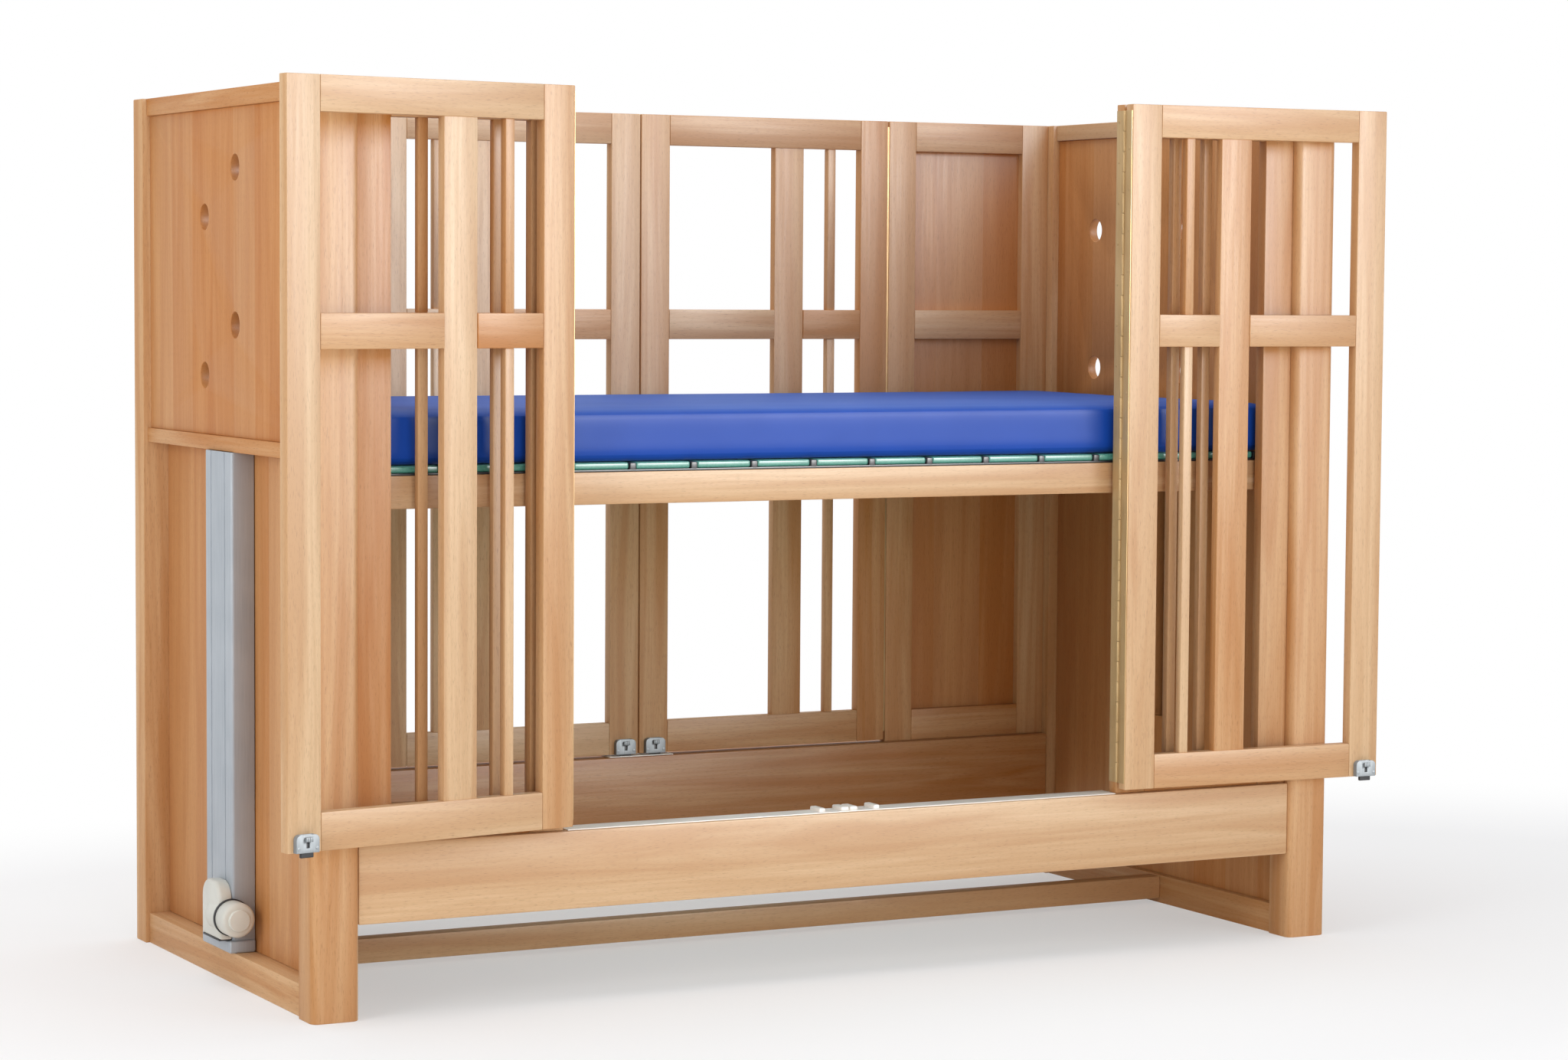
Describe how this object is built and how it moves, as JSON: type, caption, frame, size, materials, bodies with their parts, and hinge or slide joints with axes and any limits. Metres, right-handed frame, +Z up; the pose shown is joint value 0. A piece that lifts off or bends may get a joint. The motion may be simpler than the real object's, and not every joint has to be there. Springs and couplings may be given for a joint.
{
  "type": "pediatric care cot",
  "caption": "Full-length wooden care cot with solid ends, folding barred doors on both sides and a slatted mattress platform raised by end lift columns.",
  "frame": {"origin": "centre of the bottom of the part's box, on the floor, with the front doors folded open", "axes": "+X along the bed from the left end, +Y from the front doors to the rear doors, +Z up"},
  "size_m": [2.3878, 1.1358, 1.68],
  "materials": {
    "beech": "clear lacquered solid beech",
    "beech_panel": "clear lacquered beech plywood",
    "hinge_metal": "brass plated",
    "latch_zinc": "zinc grey",
    "black_plastic": "moulded",
    "white_plastic": "moulded",
    "anodised_aluminium": "satin anodised",
    "motor_plastic": "moulded",
    "screw_steel": "bright rolled",
    "green_slat": "satin moulded",
    "mattress_cover": "coated wipe-clean cover"
  },
  "bodies": {
    "frame": {"left_front_post": "beech", "left_rear_post": "beech", "left_top_rail": "beech", "left_mid_rail": "beech", "left_bottom_rail": "beech", "left_upper_panel": "beech_panel", "left_lower_panel": "beech_panel", "right_front_post": "beech", "right_rear_post": "beech", "right_top_rail": "beech", "right_mid_rail": "beech", "right_bottom_rail": "beech", "right_upper_panel": "beech_panel", "right_lower_panel": "beech_panel", "front_sill": "beech", "rear_sill": "beech", "front_sill_strip": "white_plastic", "rear_strike_plate": "white_plastic", "tie_beam": "beech", "front_left_side_frame": "beech", "front_left_hinge_fixed_leaf": "hinge_metal", "front_right_side_frame": "beech", "front_right_hinge_fixed_leaf": "hinge_metal", "rear_left_side_frame": "beech", "rear_left_side_panel": "beech_panel", "rear_left_hinge_fixed_leaf": "hinge_metal", "rear_right_side_frame": "beech", "rear_right_side_panel": "beech_panel", "rear_right_hinge_fixed_leaf": "hinge_metal", "left_lift_column": "anodised_aluminium", "right_lift_column": "anodised_aluminium", "left_lift_motor": "motor_plastic", "right_lift_motor": "motor_plastic"},
    "front_left_door": {"front_left_door_frame": "beech", "front_left_hinge_door_leaf": "hinge_metal", "front_left_latch_housing": "latch_zinc"},
    "front_left_bolt": {"front_left_latch_bolt": "black_plastic"},
    "front_right_door": {"front_right_door_frame": "beech", "front_right_hinge_door_leaf": "hinge_metal", "front_right_latch_housing": "latch_zinc"},
    "front_right_bolt": {"front_right_latch_bolt": "black_plastic"},
    "rear_left_door": {"rear_left_door_frame": "beech", "rear_left_hinge_door_leaf": "hinge_metal", "rear_left_latch_housing": "latch_zinc"},
    "rear_left_bolt": {"rear_left_latch_bolt": "black_plastic"},
    "rear_right_door": {"rear_right_door_frame": "beech", "rear_right_hinge_door_leaf": "hinge_metal", "rear_right_latch_housing": "latch_zinc"},
    "rear_right_bolt": {"rear_right_latch_bolt": "black_plastic"},
    "platform": {"platform_front_rail": "beech", "platform_rear_rail": "beech", "left_lift_carriage": "anodised_aluminium", "right_lift_carriage": "anodised_aluminium", "slat_deck": "green_slat", "front_slat_holder": "black_plastic", "rear_slat_holder": "black_plastic", "mattress": "mattress_cover"},
    "left_spindle": {"left_lift_spindle": "screw_steel"},
    "right_spindle": {"right_lift_spindle": "screw_steel"}
  },
  "joints": [
    {"name": "front_left_door_swing", "type": "hinge", "parent": "frame", "child": "front_left_door", "pos_m": [-0.60409, -0.42612, 1.004], "axis": [0, 0, 1], "range_deg": [-6.4, 170.6]},
    {"name": "front_left_bolt_drop", "type": "slide", "parent": "front_left_door", "child": "front_left_bolt", "axis": [0, 0, -1], "range_m": [0, 0.012]},
    {"name": "front_right_door_swing", "type": "hinge", "parent": "frame", "child": "front_right_door", "pos_m": [0.59591, -0.42612, 1.004], "axis": [0, 0, -1], "range_deg": [0, 178]},
    {"name": "front_right_bolt_drop", "type": "slide", "parent": "front_right_door", "child": "front_right_bolt", "axis": [0, 0, -1], "range_m": [0, 0.012]},
    {"name": "rear_left_door_swing", "type": "hinge", "parent": "frame", "child": "rear_left_door", "pos_m": [-0.60409, 0.55188, 1.004], "axis": [0, 0, 1], "range_deg": [0, 178]},
    {"name": "rear_left_bolt_drop", "type": "slide", "parent": "rear_left_door", "child": "rear_left_bolt", "axis": [0, 0, -1], "range_m": [0, 0.012]},
    {"name": "rear_right_door_swing", "type": "hinge", "parent": "frame", "child": "rear_right_door", "pos_m": [0.59591, 0.55188, 1.004], "axis": [0, 0, -1], "range_deg": [0, 178]},
    {"name": "rear_right_bolt_drop", "type": "slide", "parent": "rear_right_door", "child": "rear_right_bolt", "axis": [0, 0, -1], "range_m": [0, 0.012]},
    {"name": "platform_lift", "type": "slide", "parent": "frame", "child": "platform", "axis": [0, 0, 1], "range_m": [-0.5, 0]},
    {"name": "left_spindle_turn", "type": "hinge", "parent": "frame", "child": "left_spindle", "pos_m": [-1.07909, 0.06288, 0.5], "axis": [0, 0, 1], "range_deg": [-9000, 0]},
    {"name": "right_spindle_turn", "type": "hinge", "parent": "frame", "child": "right_spindle", "pos_m": [1.07091, 0.06288, 0.5], "axis": [0, 0, 1], "range_deg": [-9000, 0]}
  ],
  "couplings": [
    {"joint": "left_spindle_turn", "follows": "platform_lift", "rad_per_m": 314.16},
    {"joint": "right_spindle_turn", "follows": "platform_lift", "rad_per_m": 314.16}
  ]
}
